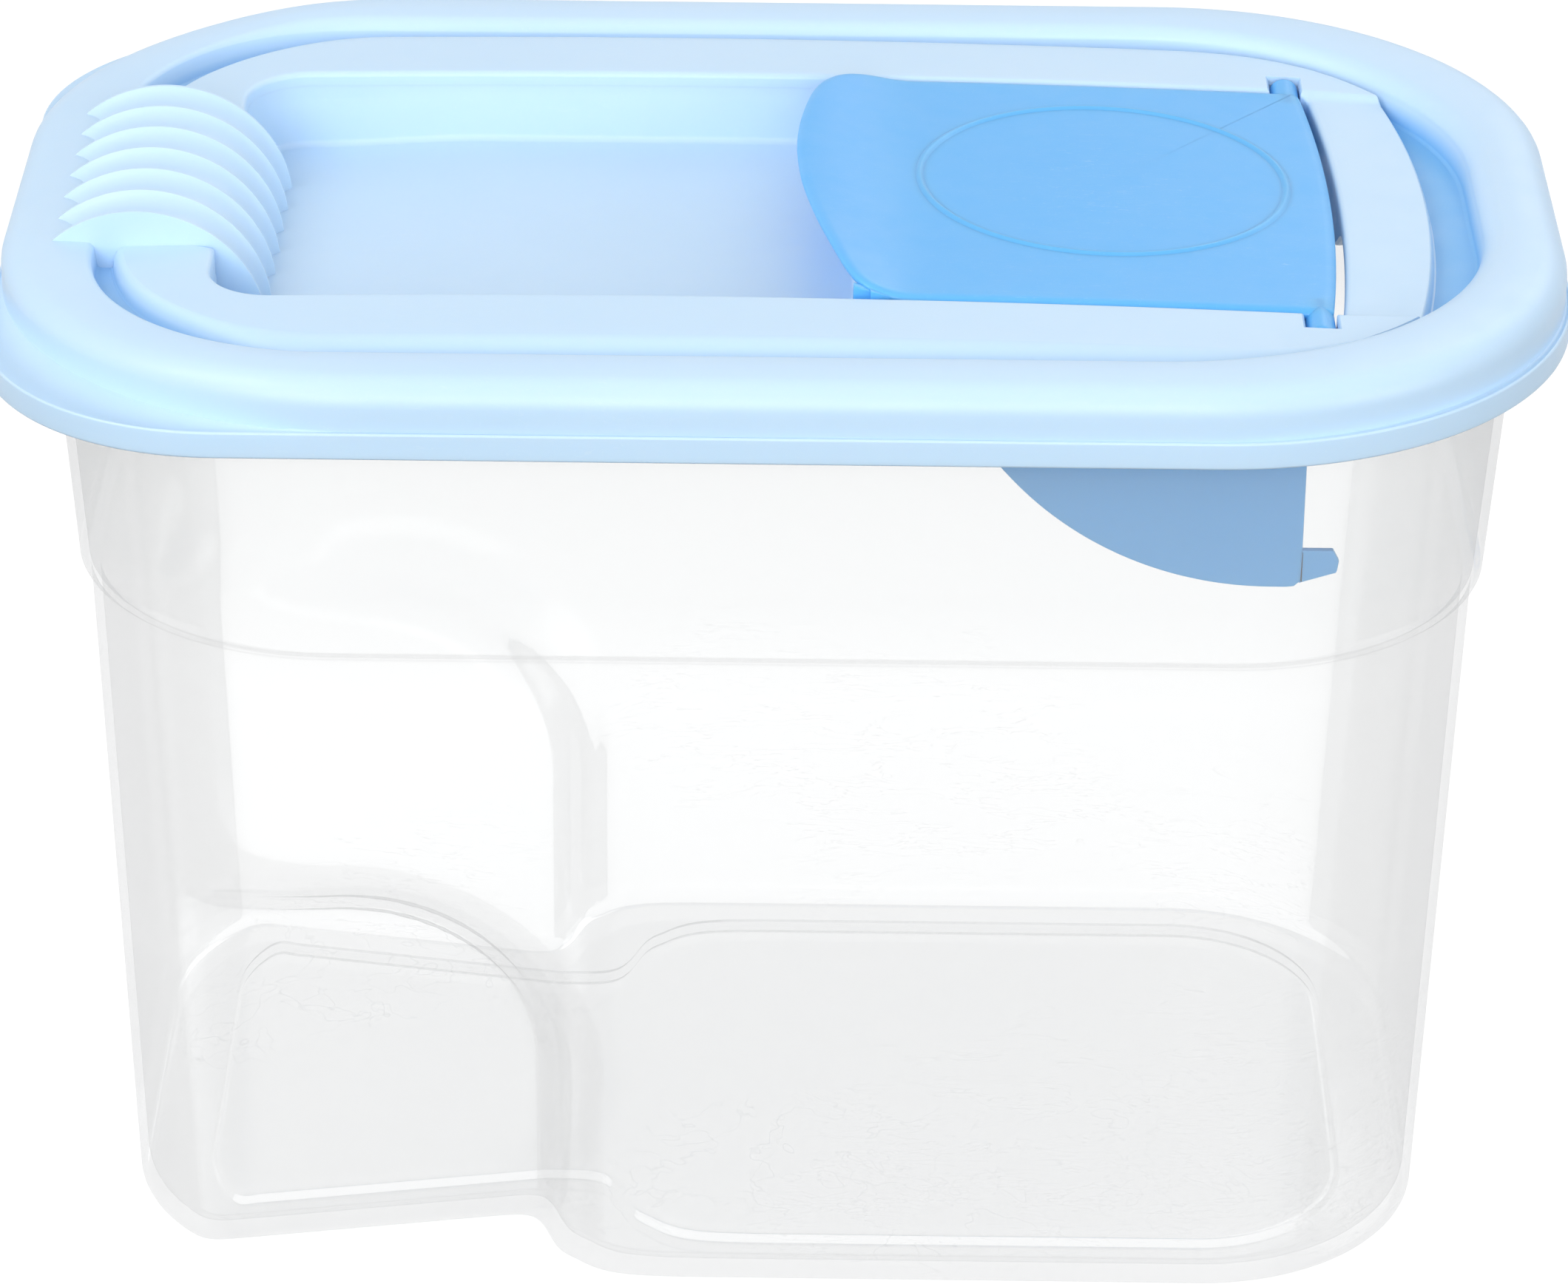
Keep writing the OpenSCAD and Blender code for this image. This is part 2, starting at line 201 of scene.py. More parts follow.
def deck_edge():
    """Edge of the raised middle's flat top, and how wide its rolled side is at each point"""
    y = END_Y
    right = np.stack([STRIP_X - STRIP_R + np.sqrt(STRIP_R ** 2 - y * y), y], axis=1)
    left = np.stack([-end_x(y, DECK_LEFT, DECK_HALF, DECK_LEFT_R), y], axis=1)
    path = list(spline([tuple(right[-1])] + EAR))
    stop = math.asin((OPEN_HALF - DECK_HALF + DECK_LEFT_R) / DECK_LEFT_R)
    r = DECK_LEFT_R
    for a in np.linspace(math.pi / 2, stop, 40):
        path.append((r - DECK_LEFT - r * math.cos(a), DECK_HALF - r + r * math.sin(a)))
    rail = resample(path + [tuple(left[-1])], RAIL_T)
    x = rail[:, 0]
    strip_wide, rail_wide, left_wide = 1.3, 7.0, 2.6
    side = strip_wide + (rail_wide - strip_wide) * smooth((136 - x) / 40)
    side += (left_wide - rail_wide) * smooth((-95 - x) / 35)
    wide = np.concatenate([np.full(len(right), strip_wide), side,
                           np.full(len(left), left_wide), side[::-1]])
    return close_loop(right, rail, left), wide


def spline(points, per=12):
    """Smooth line through points"""
    pts = [np.array(p, float) for p in points]
    pts = [2 * pts[0] - pts[1]] + pts + [2 * pts[-1] - pts[-2]]
    out = []
    for i in range(1, len(pts) - 2):
        p0, p1, p2, p3 = pts[i - 1:i + 3]
        for t in np.linspace(0, 1, per, endpoint=False):
            out.append(0.5 * (2 * p1 + (p2 - p0) * t + (2 * p0 - 5 * p1 + 4 * p2 - p3) * t * t
                              + (3 * p1 - p0 - 3 * p2 + p3) * t ** 3))
    out.append(pts[-2])
    return np.array(out)


def outward(loop):
    """Unit vectors that point out of a loop"""
    ahead = np.roll(loop, -1, axis=0) - loop
    behind = loop - np.roll(loop, 1, axis=0)
    ahead /= np.maximum(np.linalg.norm(ahead, axis=1), 1e-9)[:, None]
    behind /= np.maximum(np.linalg.norm(behind, axis=1), 1e-9)[:, None]
    t = ahead + behind
    t /= np.maximum(np.linalg.norm(t, axis=1), 1e-9)[:, None]
    return np.stack([t[:, 1], -t[:, 0]], axis=1)


def keep_inside(loop, fence):
    """Loop whose points that cross a fence of matching points stop just inside it"""
    inward = -outward(fence)
    depth = ((loop - fence) * inward).sum(axis=1)
    return loop + inward * np.maximum(0.25 - depth, 0.0)[:, None]


def at_z(loop, z):
    """Loop of points in space from a flat loop and one height or many"""
    z = np.broadcast_to(z, (len(loop),))
    return np.column_stack([loop, z])


def loft(name, loops, closed=False, caps=(False, False)):
    """Mesh object through loops with the same number of points"""
    n = len(loops[0])
    points = np.concatenate(loops) * MM
    faces = []
    rows = len(loops)
    last = rows if closed else rows - 1
    for r in range(last):
        a, b = r * n, ((r + 1) % rows) * n
        for i in range(n):
            j = (i + 1) % n
            faces.append((a + i, a + j, b + j, b + i))
    if caps[0]:
        faces.append(tuple(range(n))[::-1])
    if caps[1]:
        faces.append(tuple((rows - 1) * n + i for i in range(n)))
    return mesh_object(name, points, faces)


def mesh_object(name, points, faces):
    """Object from points in metres and faces, with merged doubles and outward normals"""
    mesh = bpy.data.meshes.new(name)
    mesh.from_pydata([tuple(map(float, p)) for p in points], [], faces)
    bm = bmesh.new()
    bm.from_mesh(mesh)
    bmesh.ops.remove_doubles(bm, verts=bm.verts, dist=2e-6)
    bmesh.ops.dissolve_degenerate(bm, edges=bm.edges, dist=1e-6)
    bmesh.ops.recalc_face_normals(bm, faces=bm.faces)
    if bm.calc_volume(signed=True) < 0:
        bmesh.ops.reverse_faces(bm, faces=bm.faces)
    bm.to_mesh(mesh)
    bm.free()
    obj = bpy.data.objects.new(name, mesh)
    bpy.context.scene.collection.objects.link(obj)
    return obj


def plate(outline, y0, y1, bevel=0.6):
    """Upright plate in the plane of length and height, with softened edges"""
    outline = np.array(outline)
    normal = outward(outline)
    loops = []
    side = 1 if y1 > y0 else -1
    for inset, y in ((bevel, y0), (0.25 * bevel, y0 + 0.25 * side * bevel), (0, y0 + side * bevel),
                     (0, y1 - side * bevel), (0.25 * bevel, y1 - 0.25 * side * bevel), (bevel, y1)):
        flat = outline - normal * inset
        loops.append(np.column_stack([flat[:, 0], np.full(len(flat), y), flat[:, 1]]))
    return loops


def drop_object(obj):
    """Remove an object and its mesh"""
    mesh = obj.data
    bpy.data.objects.remove(obj)
    bpy.data.meshes.remove(mesh)


def join(name, objects):
    """One object from several"""
    bm = bmesh.new()
    for o in objects:
        bm.from_mesh(o.data)
    mesh = bpy.data.meshes.new(name)
    bm.to_mesh(mesh)
    bm.free()
    for o in objects:
        drop_object(o)
    made = bpy.data.objects.new(name, mesh)
    bpy.context.scene.collection.objects.link(made)
    return made


def finish_shading(obj, angle=40):
    """Smooth faces that meet at small angles, with normals led by the large faces"""
    mesh = obj.data
    for p in mesh.polygons:
        p.use_smooth = True
    mesh.set_sharp_from_angle(angle=math.radians(angle))
    weighted = obj.modifiers.new("weighted", "WEIGHTED_NORMAL")
    weighted.keep_sharp = True
    weighted.weight = 50


def place(obj, body, material, node=None):
    """Give a piece its body, slot and material, and hide the node it stands for"""
    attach(obj, body)
    if node:
        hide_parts(node)
    obj.data.materials.clear()
    obj.data.materials.append(material)


# Materials


class Nodes:
    """Short way to write a material's node tree, with textures placed by object coordinates"""

    def __init__(self, material):
        material.use_nodes = True
        self.tree = material.node_tree
        self.tree.nodes.clear()
        self.coords = self.add("ShaderNodeTexCoord").outputs["Object"]

    def add(self, kind, values=None, **settings):
        node = self.tree.nodes.new(kind)
        for key, value in settings.items():
            setattr(node, key, value)
        for key, value in (values or {}).items():
            self.put(node.inputs[key], value)
        return node

    def put(self, socket, value):
        if isinstance(value, bpy.types.NodeSocket):
            self.tree.links.new(value, socket)
        else:
            socket.default_value = value

    def noise(self, scale, detail=2.0, rough=0.5):
        made = self.add("ShaderNodeTexNoise", {
            "Vector": self.coords, "Scale": scale, "Detail": detail, "Roughness": rough})
        return made.outputs["Fac"]

    def height(self):
        """Height above the object's foot, in metres"""
        return self.add("ShaderNodeSeparateXYZ", {"Vector": self.coords}).outputs[2]

    def ramp(self, value, low, high, low_out=0.0, high_out=1.0):
        made = self.add("ShaderNodeMapRange", {
            "Value": value, "From Min": low, "From Max": high,
            "To Min": low_out, "To Max": high_out})
        return made.outputs[0]

    def mix(self, fac, a, b):
        made = self.add("ShaderNodeMix", data_type="RGBA")
        for key, value in (("Factor", fac), ("A", a), ("B", b)):
            sockets = [s for s in made.inputs if s.name == key and s.enabled]
            self.put(sockets[0], value)
        return [s for s in made.outputs if s.enabled][0]

    def math(self, operation, a, b=0.0):
        made = self.add("ShaderNodeMath", operation=operation)
        self.put(made.inputs[0], a)
        self.put(made.inputs[1], b)
        return made.outputs[0]

    def scratches(self, scale, along, width=0.02):
        """Thin broken lines that run mostly one way"""
        warp = self.noise(9.0, 2.0)
        line = self.add("ShaderNodeTexNoise", {
            "Vector": self.add("ShaderNodeMapping", {
                "Vector": self.coords, "Scale": along}).outputs[0],
            "Scale": scale, "Detail": 3.0, "Roughness": 0.6, "Distortion": 0.3}).outputs["Fac"]
        off = self.math("ABSOLUTE", self.math("SUBTRACT", line, 0.5))
        thin = self.ramp(off, 0.0, width, 1.0, 0.0)
        return self.math("MULTIPLY", thin, self.ramp(warp, 0.5, 0.62))

    def output(self, shader):
        out = self.add("ShaderNodeOutputMaterial")
        self.tree.links.new(shader, out.inputs["Surface"])


def moulded_plastic(name, colour, tint, rough, scuff, shade_levels=None, upper=None):
    """Opaque moulded plastic with a faint grain, cloudy tone and fine scuffs

    Between two levels it may turn to another colour: painted shade, dark at the bottom of a groove
    and turning to the plain colour towards its mouth"""
    material = bpy.data.materials.new(name)
    nodes = Nodes(material)
    cloud = nodes.noise(14.0, 3.0)
    base = nodes.mix(nodes.ramp(cloud, 0.3, 0.7), colour, tint)
    # Painted shade: the colour is dark below the lower level and turns to the plain colour above
    # the upper one
    if shade_levels:
        base = nodes.mix(nodes.ramp(nodes.height(), *shade_levels), base, upper)
    speck = nodes.ramp(nodes.noise(2600.0, 1.0), 0.70, 0.78)
    base = nodes.mix(nodes.math("MULTIPLY", speck, 0.10), base, (0.95, 0.98, 1.0, 1.0))
    scratch = nodes.scratches(60.0, (1.0, 7.0, 3.0), 0.004)
    base = nodes.mix(nodes.math("MULTIPLY", scratch, scuff), base, (0.92, 0.97, 1.0, 1.0))
    grain = nodes.noise(1500.0, 3.0, 0.6)
    ripple = nodes.noise(70.0, 2.0)
    relief = nodes.math("ADD", nodes.math("MULTIPLY", grain, 0.35), ripple)
    bump = nodes.add("ShaderNodeBump", {"Height": relief, "Strength": 0.06, "Distance": 0.0004})
    gloss = nodes.ramp(nodes.noise(120.0, 4.0, 0.6), 0.3, 0.7, rough - 0.05, rough + 0.07)
    shader = nodes.add("ShaderNodeBsdfPrincipled", {
        "Base Color": base,
        "Roughness": gloss,
        "Normal": bump.outputs[0],
        "IOR": 1.48,
        "Subsurface Weight": 0.18,
        "Subsurface Radius": (0.6, 0.9, 1.2),
        "Subsurface Scale": 0.003,
    })
    nodes.output(shader.outputs[0])
    return material


def clear_plastic():
    """Clear moulded plastic seen as a thin wall, grey at its edges, with a little haze and wear"""
    material = bpy.data.materials.new("clear_plastic")
    nodes = Nodes(material)
    edge = nodes.add("ShaderNodeLayerWeight", {"Blend": 0.5}).outputs["Facing"]
    edge = nodes.math("POWER", edge, 4.0)
    tint = nodes.mix(edge, (0.997, 0.998, 0.998, 1.0), (0.972, 0.972, 0.975, 1.0))
    through = nodes.add("ShaderNodeBsdfTransparent", {"Color": tint})
    height = nodes.height()
    low = nodes.ramp(height, 0.02, 0.11, 1.0, 0.25)
    worn = nodes.math("MULTIPLY", nodes.scratches(40.0, (1.0, 1.0, 6.0), 0.006), low)
    veil = nodes.ramp(height, 0.150, 0.175, 0.03, 0.13)
    haze = nodes.math("ADD", nodes.math("MULTIPLY", worn, 0.12), veil)
    milky = nodes.add("ShaderNodeBsdfDiffuse", {"Color": (0.93, 0.935, 0.94, 1.0)})
    body = nodes.add("ShaderNodeMixShader", {0: haze, 1: through.outputs[0], 2: milky.outputs[0]})
    bump = nodes.add("ShaderNodeBump", {
        "Height": nodes.noise(45.0, 1.0), "Strength": 0.05, "Distance": 0.001})
    gloss = nodes.add("ShaderNodeBsdfGlossy", {"Roughness": 0.12, "Normal": bump.outputs[0]})
    fresnel = nodes.add("ShaderNodeFresnel", {"IOR": 1.4, "Normal": bump.outputs[0]})
    shader = nodes.add("ShaderNodeMixShader", {
        0: nodes.math("MULTIPLY", fresnel.outputs[0], 0.32),
        1: body.outputs[0], 2: gloss.outputs[0]})
    nodes.output(shader.outputs[0])
    return material


PALE_BLUE = (0.56, 0.75, 0.96, 1.0)
PALE = moulded_plastic("pale_blue", PALE_BLUE, (0.58, 0.765, 0.97, 1.0), 0.38, 0.12)
MID = moulded_plastic("mid_blue", (0.108, 0.460, 0.925, 1.0), (0.128, 0.480, 0.935, 1.0), 0.33, 0.2)
# Darker blue of painted shade for the moat and the wall beside the hinge, turning to the plain pale
# blue up the moat's walls
SHADE_BLUE = moulded_plastic("painted_shade_blue", (0.20, 0.51, 0.86, 1.0), (0.22, 0.52, 0.87, 1.0), 0.4, 0.05,
                       (0.2226, 0.2272), PALE_BLUE)
CLEAR = clear_plastic()


# Lid


def lid_loops():
    """Loops of the lid's shell, from the skirt's inner lower edge over the top and back below"""
    loops = []
    strip = np.zeros(len(rounded(*SKIRT)))
    ends = 2 * END_N + 1
    strip[:ends] = smooth((OPEN_HALF - np.abs(END_Y)) / 2.5) * STRIP_DROP

    def add(flat, z):
        loops.append(at_z(flat, z))

    add(rounded(*SKIRT, 2.2), SKIRT_Z)
    for a in np.linspace(0, math.pi / 2, 4):
        add(rounded(*SKIRT, 0.6 * (1 - math.sin(a))), SKIRT_Z + 0.6 * (1 - math.cos(a)))
    for z in (217.0, 219.0):
        add(rounded(*SKIRT), z)
    skirt_roll = 0.5
    for a in np.linspace(0, math.pi / 2, 5):
        add(rounded(*SKIRT, skirt_roll * (1 - math.cos(a))),
            STEP_Z - skirt_roll * (1 - math.sin(a)))
    outer = rounded(*SKIRT, skirt_roll)
    inner = rounded(*BEAD, -0.15)
    width = np.linalg.norm(outer - inner, axis=1)
    for t in (0.2, 0.4, 0.6, 0.8):
        dish = np.minimum(1.3, 0.11 * width) * math.sin(math.pi * t)
        add(outer * (1 - t) + inner * t, STEP_Z - dish - 0.3 * t)
    add(rounded(*BEAD, -0.05), STEP_Z - 0.2)
    add(rounded(*BEAD), STEP_Z + 0.3)
    for z in (222.5, 224.3):
        add(rounded(*BEAD), z)
    roll = 6.0
    for a in np.linspace(0, math.pi / 2, 9):
        flat = rounded(*BEAD, roll * (1 - math.cos(a)))
        add(flat, RING_Z - roll * (1 - math.sin(a)) - ring_drop(flat[:, 0]) * math.sin(a))
    outer = rounded(*BEAD, roll)
    x = moat()[:, 0]
    lip = 4.2 + 1.4 * smooth((x - 90) / 50) - 2.6 * smooth((-100 - x) / 40)
    inner = moat(lip)
    for t in (0.25, 0.5, 0.75):
        flat = outer * (1 - t) + inner * t
        add(flat, RING_Z + 0.25 * math.sin(math.pi * t) - ring_drop(flat[:, 0]))
    for a in np.linspace(0, 0.8 * math.pi / 2, 9):
        flat = moat(lip * (1 - math.sin(a)))
        add(flat, RING_Z - lip * (1 - math.cos(a)) - ring_drop(flat[:, 0]))
    foot = 1.2
    for a in np.linspace(0.25 * math.pi / 2, math.pi / 2, 5):
        flat = moat(-0.4 - foot * (1 - math.cos(a)))
        add(flat, moat_z(flat[:, 0]) + foot * (1 - math.sin(a)))
    top, wide = deck_edge()
    out = outward(top)
    floor = moat(-1.7)
    flat = keep_inside(top + out * (wide + 0.4)[:, None], floor)
    add(flat, moat_z(flat[:, 0]))
    for a in np.linspace(0.08, math.pi / 2, 10):
        flat = keep_inside(top + out * (wide * math.cos(a))[:, None], floor)
        low = moat_z(flat[:, 0])
        add(flat, low + (crown(flat[:, 0]) - strip - low) * math.sin(a))
    edge = 1.3
    inner = opening(edge)
    for t in (0.15, 0.35, 0.55, 0.75, 0.92):
        flat = top * (1 - t) + inner * t
        add(flat, crown(flat[:, 0]) - strip)
    for a in np.linspace(0, math.pi / 2, 6):
        flat = opening(edge * (1 - math.sin(a)))
        add(flat, crown(flat[:, 0]) - strip - edge * (1 - math.cos(a)))
    wall = opening()
    low = opening(LID_WALL)
    slit = smooth((wall[:, 0] - 112) / 8) * smooth((14 - wall[:, 1]) / 28)
    hem = OPEN_FOOT + OPEN_FOOT_RISE * slit
    under = crown(low[:, 0]) - strip - LID_WALL
    for t in (0.3, 0.7, 1.0):
        add(wall, 226.0 * (1 - t) + (hem + 0.6) * t)
    add(opening(0.6), hem)
    add(opening(1.7), hem)
    for t in (0.0, 0.35, 0.7):
        add(low, (hem + 0.6) * (1 - t) + (under - 0.6) * t)
    add(low, under - 0.6)
    add(opening(LID_WALL + 0.6), under)
    add(top, crown(top[:, 0]) - strip - LID_WALL)
    for a in (0.9, 0.5, 0.1):
        flat = keep_inside(top + out * ((wide - 1.2) * math.cos(a))[:, None], floor)
        low = moat_z(flat[:, 0])
        add(flat, low - LID_WALL + (crown(flat[:, 0]) - strip - low) * math.sin(a))
    flat = keep_inside(top + out * (wide - 0.8)[:, None], floor)
    add(flat, moat_z(flat[:, 0]) - LID_WALL)
    add(moat(LID_WALL - 0.8), moat_z(x) - LID_WALL)
    add(moat(LID_WALL), moat_z(x) - LID_WALL + 0.8)
    add(moat(LID_WALL + 0.3), RING_Z - LID_WALL - 4.0)
    add(moat(LID_WALL + 3.0), RING_Z - LID_WALL - 1.6)
    add(rounded(*BEAD, 7.0), RING_Z - LID_WALL - 1.6)
    for a in (1.1, 0.6, 0.0):
        add(rounded(*BEAD, 2.2 + 4.0 * (1 - math.cos(a))),
            RING_Z - 7.8 + 4.0 * math.sin(a))
    add(rounded(*BEAD, 2.3), STEP_Z - 1.0)
    add(rounded(*BEAD, 2.6), STEP_Z - LID_WALL - 0.3)
    add(rounded(*SKIRT, 3.0), STEP_Z - LID_WALL)
    add(rounded(*SKIRT, 2.2), STEP_Z - LID_WALL - 0.8)
    return loops


def notch_loops(side):
    """Loops of the slot for a hinge pin, whose mouth flares a little"""
    half = PIN_R + 0.25
    top = crown(HINGE_X)
    flare = [(half, top - 1.0), (half + 0.2, top - 0.5), (half + 0.6, top + 0.05),
             (half + 0.7, top + 3.0)]
    mouth = flare + [(-x, z) for x, z in flare[::-1]]
    loops = []
    for y in (58.0, 69.0):
        line = [(HINGE_X + half * math.cos(a), side * y, HINGE_Z + half * math.sin(a))
                for a in np.linspace(math.pi, 2 * math.pi, 25)]
        line += [(HINGE_X + x, side * y, z) for x, z in mouth]
        loops.append(np.array(line))
    return loops


def cut_notches():
    """Open the slots for the hinge pins in the lid"""
    for side in (-1, 1):
        cutter = loft("cutter", notch_loops(side), caps=(True, True))
        cut = lid_shell.modifiers.new("slot", "BOOLEAN")
        cut.operation = "DIFFERENCE"
        cut.solver = "MANIFOLD"
        cut.object = cutter
        graph = bpy.context.evaluated_depsgraph_get()
        mesh = bpy.data.meshes.new_from_object(lid_shell.evaluated_get(graph))
        lid_shell.modifiers.remove(cut)
        old = lid_shell.data
        lid_shell.data = mesh
        bpy.data.meshes.remove(old)
        drop_object(cutter)


def in_moat(x, y):
    """Whether a place lies in the moat, between the raised middle and the ring"""
    length, width, left_r, right_r = MOAT
    x, y = x - MOAT_SHIFT, abs(y)
    r = right_r if x > 0 else left_r
    over_x, over_y = abs(x) - (length / 2 - r), y - (width / 2 - r)
    inside = math.hypot(over_x, over_y) < r if min(over_x, over_y) > 0 else max(over_x, over_y) < r
    over = y - (DECK_HALF - DECK_LEFT_R)
    if over < 0 or x > 0:
        edge = -DECK_LEFT - 1.0
    else:
        edge = DECK_LEFT_R - DECK_LEFT - 1.0 - math.sqrt(max(DECK_LEFT_R ** 2 - over ** 2, 0))
    strip = STRIP_X - STRIP_R + math.sqrt(STRIP_R ** 2 - y * y)
    return inside and (x < edge or x > strip or y > DECK_HALF)


def hinge_seats():
    """Troughs below the lid that carry the hinge pins"""
    meshes = []
    inner, outer = PIN_R + 0.2, PIN_R + 1.9
    top = crown(HINGE_X) - 1.6
    for side in (-1, 1):
        line = [(HINGE_X + outer, top), (HINGE_X + inner, top)]
        line += [(HINGE_X + inner * math.cos(a), HINGE_Z + inner * math.sin(a))
                 for a in np.linspace(0, -math.pi, 25)]
        line += [(HINGE_X - inner, top), (HINGE_X - outer, top)]
        line += [(HINGE_X + outer * math.cos(a), HINGE_Z + outer * math.sin(a))
                 for a in np.linspace(-math.pi, 0, 25)]
        meshes.append(loft("seat", plate(line, side * 61.2, side * 69.2, 0.1), caps=(True, True)))
        ends = [(HINGE_X + outer, top), (HINGE_X - outer, top)] + line[-25:]
        meshes.append(loft("seat", plate(ends, side * 69.1, side * 70.7, 0.3), caps=(True, True)))
    return join("hinge_seats", meshes)


def paint_moat_shade():
    """Give the moat's faces and the wall beside the flap's hinge the material of painted shade"""
    lid_shell.data.materials.append(SHADE_BLUE)
    for p in lid_shell.data.polygons:
        c = p.center / MM
        # Painted shade on the low faces in the moat and on the wall beside the hinge, where little
        # light reaches
        if p.normal.z > -0.2 and c.z < RING_Z - 0.4 and in_moat(c.x, c.y):
            p.material_index = 1
        elif 112 < c.x < 124 and abs(c.y) < 60 and p.normal.x < -0.7:
            p.material_index = 1


lid_shell = loft("lid_shell", lid_loops(), closed=True)
cut_notches()
finish_shading(lid_shell)
place(lid_shell, "lid", PALE, "lid")
# Painted shade in the moat and on the wall beside the hinge
paint_moat_shade()
seats = hinge_seats()
finish_shading(seats)
place(seats, "lid", PALE)


def box_loop(x0, x1, half, rl, rr):
    """Rounded rectangle between two lengths"""
    corner_n = 24
    side_n = 30
    points = []
    corners = ((x1 - rr, half - rr, rr, 0), (x0 + rl, half - rl, rl, 1),
               (x0 + rl, rl - half, rl, 2), (x1 - rr, rr - half, rr, 3))
    for k, (cx, cy, r, q) in enumerate(corners):
        for a in np.linspace(q * math.pi / 2, (q + 1) * math.pi / 2, corner_n):
            points.append((cx + r * math.cos(a), cy + r * math.sin(a)))
        nx, ny, nr, _ = corners[(k + 1) % 4]
        a = (q + 1) * math.pi / 2
        end = np.array(points[-1])
        start = np.array((nx + nr * math.cos(a), ny + nr * math.sin(a)))
        for t in np.linspace(0, 1, side_n)[1:-1]:
            points.append(tuple(end * (1 - t) + start * t))
    return np.array(points)


def pan_loops():
    """Loops of the sunken pan, from the outside of its wall over the rim to its floor"""
    loops = []
    rest = 3.2

    def ring(inset, z):
        """Add a loop at a height over the floor, or just below the lid's top where z is None"""
        flat = box_loop(PAN_LEFT + inset, PAN_END - inset, OPEN_HALF - inset,
                        PAN_R - inset, max(4.0 - inset, 0.4))
        hidden = (flat[:, 0] < PAN_LEFT + inset + 0.01) & (np.abs(flat[:, 1]) < UNDER_HALF)
        flat[:, 0] -= UNDER_GRIP * hidden
        top = crown(flat[:, 0]) - rest
        loops.append(at_z(flat, top if z is None else pan_z(flat[:, 0]) + z))

    floor_r = 1.6
    upper = 11.0
    ring(-2.2, -0.8)
    ring(-2.2, 7.0)
    ring(-2.2, None)
    ring(0.03, None)
    ring(0.03, upper + 0.5)
    for t in (0.0, 0.5, 1.0):
        ring(0.2 + 0.8 * t, upper - (upper - floor_r) * t)
    for a in np.linspace(0, math.pi / 2, 7)[1:]:
        ring(1.0 + floor_r * (1 - math.cos(a)), floor_r * (1 - math.sin(a)))
    ring(9.0, 0.0)
    return loops


lid_pan = loft("lid_pan", pan_loops(), caps=(False, True))
finish_shading(lid_pan)
place(lid_pan, "lid", PALE)


def grip_radius(y):
    """Radius of the finned grip at a distance along it"""
    place_in = (y + FIN_REACH) % FIN_PITCH
    t = abs(place_in / FIN_PITCH - 0.5) * 2
    fin = 0.94
    if t > fin:
        return GRIP_R
    return GRIP_R - GROOVE * (1 - (t / fin) ** 2) ** 0.8


def grip_mesh():
    """Finned grip between the ring and the pan"""
    ys = [-GRIP_HALF]
    per = 22
    for k in range(FIN_N - 1):
        y0 = -FIN_REACH + k * FIN_PITCH
        ys += [y0 + 0.35] + [y0 + FIN_PITCH * t for t in np.linspace(0.04, 0.96, per)]
        ys += [y0 + FIN_PITCH - 0.35]
    ys.append(GRIP_HALF)
    angles = np.radians(np.linspace(-8, 160, 90))
    loops = []
    for y in ys:
        r = grip_radius(y) if abs(y) < GRIP_HALF - 0.5 else GRIP_R
        line = [(GRIP_X + r * math.cos(a), y, GRIP_Z + r * math.sin(a)) for a in angles]
        loops.append(np.array(line))
    n = len(angles)
    points = np.concatenate(loops)
    faces = []
    for r in range(len(loops) - 1):
        for i in range(n - 1):
            faces.append((r * n + i, r * n + i + 1, (r + 1) * n + i + 1, (r + 1) * n + i))
    faces.append(tuple(range(n))[::-1])
    faces.append(tuple((len(loops) - 1) * n + i for i in range(n)))
    base = [r * n for r in range(len(loops))] + [r * n + n - 1 for r in range(len(loops))][::-1]
    faces.append(tuple(base))
    return mesh_object("lid_grip", points * MM, faces)


lid_grip = grip_mesh()
finish_shading(lid_grip, 28)
place(lid_grip, "lid", PALE)


# Flap, with the lip at its free end
LIP_X = 29.0
LIP_END = 5.0
LIP_RISE = 3.5
LIP_TWIST = 1.0


def flap_outline():
    """Outline of the flap as a loop of evenly spaced points"""
    half = FLAP_HALF
    path = []
    for y in np.linspace(-half + 1.5, half - 1.5, 60):
        path.append((FLAP_RIGHT - FLAP_RIGHT_R + math.sqrt(FLAP_RIGHT_R ** 2 - y * y), y))
    path += [(115.9, half - 0.4), (115.1, half)]
    path += [(x, half) for x in np.linspace(112, 32, 40)]
    left = [(31.0, 60.3), (24.5, 60.3), (18.4, 60.0), (13.4, 57.9), (9.6, 54.0), (6.8, 48.5),
            (4.9, 41.0), (3.3, 30.0), (2.5, 19.0), (2.6, 8.0), (3.5, -4.0), (5.4, -17.0),
            (7.9, -30.0), (10.8, -42.0), (13.2, -50.5), (16.2, -56.6), (20.8, -59.7), (28.0, -60.3)]
    path += [tuple(p) for p in resample(spline(left), np.linspace(0, 1, 120))]
    path += [(x, -half) for x in np.linspace(32, 112, 40)]
    path += [(115.1, -half), (115.9, -half + 0.4)]
    return resample(path + [path[0]], np.linspace(0, 1, 481))[:-1]


def flap_top(x, y=0.0):
    """Height of the flap's top, with the lip that curls up at its free end, most in front"""
    lip = smooth((LIP_X - x) / (LIP_X - LIP_END))
    return crown(x) + lip * (LIP_RISE + LIP_TWIST * smooth((-10 - y) / 45))


